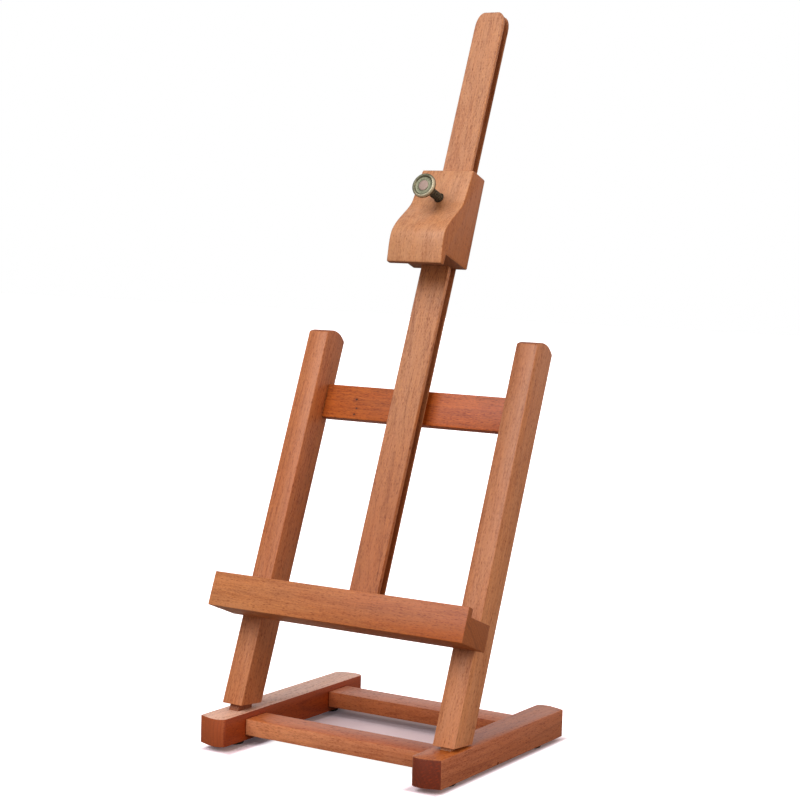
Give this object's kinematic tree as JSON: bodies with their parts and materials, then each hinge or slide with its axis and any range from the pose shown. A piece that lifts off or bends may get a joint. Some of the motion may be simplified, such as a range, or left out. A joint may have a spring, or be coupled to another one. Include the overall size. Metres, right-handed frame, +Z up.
{
  "type": "tabletop easel",
  "caption": "Wooden tabletop H-frame easel with a rail base, a leaning frame, a lipped canvas ledge and a sliding clamp locked by a thumb screw.",
  "frame": {"origin": "on the table plane, at the middle of the easel's bounding box seen from above", "axes": "+Z up, -Y the side the canvas faces, +X to the right seen from that side"},
  "size_m": [0.2092, 0.226, 0.5346],
  "materials": {
    "beech": "oiled reddish-tan beech, satin, with fine dark flecks along the grain",
    "beech_light": "paler oiled beech, satin, with fine flecks",
    "dowel_wood": "plain unfinished beech",
    "antique_brass": "aged greenish brass with a lighter worn rim",
    "zinc_steel": "zinc-plated steel",
    "rubber": "matt black rubber"
  },
  "bodies": {
    "frame": {"runner_left": "beech", "runner_right": "beech", "front_rail": "beech", "rear_rail": "beech", "upright_left": "beech", "upright_right": "beech", "upper_crossbar": "beech", "mast_spacer": "beech", "canvas_ledge": "beech", "mast": "beech_light", "front_rail_dowel_left_1": "dowel_wood", "front_rail_dowel_left_2": "dowel_wood", "front_rail_dowel_right_1": "dowel_wood", "front_rail_dowel_right_2": "dowel_wood", "rear_rail_dowel_left_1": "dowel_wood", "rear_rail_dowel_left_2": "dowel_wood", "rear_rail_dowel_right_1": "dowel_wood", "rear_rail_dowel_right_2": "dowel_wood", "crossbar_dowel_left_1": "dowel_wood", "crossbar_dowel_left_2": "dowel_wood", "crossbar_dowel_right_1": "dowel_wood", "crossbar_dowel_right_2": "dowel_wood", "foot_screw_front_left": "zinc_steel", "foot_screw_front_right": "zinc_steel", "foot_screw_rear_left": "zinc_steel", "foot_screw_rear_right": "zinc_steel", "mast_screw_1": "zinc_steel", "mast_screw_2": "zinc_steel", "mast_foot_screw": "zinc_steel", "ledge_screw_left_1": "zinc_steel", "ledge_screw_left_2": "zinc_steel", "ledge_screw_right_1": "zinc_steel", "ledge_screw_right_2": "zinc_steel", "foot_front_left": "rubber", "foot_front_right": "rubber", "foot_rear_left": "rubber", "foot_rear_right": "rubber"},
    "clamp": {"canvas_clamp": "beech_light", "threaded_insert": "antique_brass"},
    "screw_seat": {"pressure_pad": "antique_brass"},
    "screw": {"thumb_screw": "antique_brass"}
  },
  "joints": [
    {"name": "clamp_slide", "type": "slide", "parent": "frame", "child": "clamp", "axis": [0, 0.3535, 0.9354], "range_m": [-0.235, 0.125]},
    {"name": "screw_travel", "type": "slide", "parent": "clamp", "child": "screw_seat", "axis": [0, -0.9354, 0.3535], "range_m": [0, 0.003]},
    {"name": "screw_turn", "type": "hinge", "parent": "screw_seat", "child": "screw", "pos_m": [0, 0.02966, 0.39561], "axis": [0, -0.9354, 0.3535], "range_deg": [0, 1081]}
  ],
  "couplings": [
    {"joint": "screw_turn", "follows": "screw_travel", "rad_per_m": 6283.2}
  ]
}
